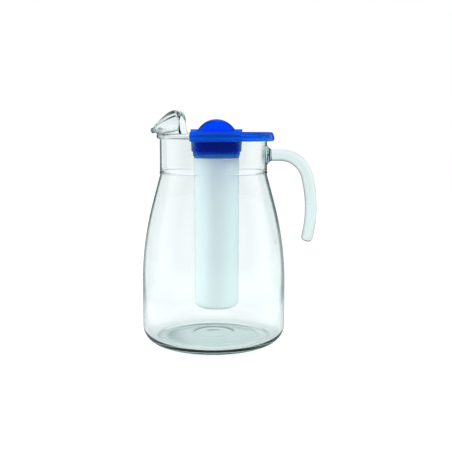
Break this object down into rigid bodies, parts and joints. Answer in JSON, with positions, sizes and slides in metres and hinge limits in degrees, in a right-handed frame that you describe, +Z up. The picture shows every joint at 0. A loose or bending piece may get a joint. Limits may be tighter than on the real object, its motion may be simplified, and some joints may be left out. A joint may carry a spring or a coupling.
{
  "type": "water jug with ice tube",
  "caption": "Clear glass water jug with an open glass handle and a two-eared ice lip, a blue plastic half lid, and a frosted ice tube that hangs in the drink from a screw cap.",
  "frame": {"origin": "centre of the ring that the jug stands on, on the table", "axes": "+Z up along the jug's axis, -X towards the spout, +X towards the handle, Y across"},
  "size_m": [0.1786, 0.1466, 0.2371],
  "materials": {
    "clear_glass": "clear polished soda glass with a faint teal tint in its thick edges",
    "blue_plastic": "glossy translucent blue, moulded",
    "frosted_plastic": "natural translucent, finely frosted",
    "seal_rubber": "matte pale grey"
  },
  "bodies": {
    "jug": {"jug": "clear_glass", "handle": "clear_glass"},
    "lid": {"lid": "blue_plastic"},
    "core": {"ice_tube": "frosted_plastic"},
    "seal": {"cap_seal": "seal_rubber"},
    "cap": {"tube_cap": "blue_plastic"}
  },
  "joints": [
    {"name": "lid_lift", "type": "slide", "parent": "jug", "child": "lid", "axis": [0, 0, 1], "range_m": [0, 0.21]},
    {"name": "core_lift", "type": "slide", "parent": "lid", "child": "core", "axis": [0, 0, 1], "range_m": [0, 0.19]},
    {"name": "cap_rise", "type": "slide", "parent": "core", "child": "seal", "axis": [0, 0, 1], "range_m": [0, 0.0201]},
    {"name": "cap_turn", "type": "hinge", "parent": "seal", "child": "cap", "pos_m": [0.003, 0, 0.2], "axis": [0, 0, 1], "range_deg": [0, 720]}
  ],
  "couplings": [
    {"joint": "cap_rise", "follows": "cap_turn", "m_per_rad": 0.0015915}
  ]
}
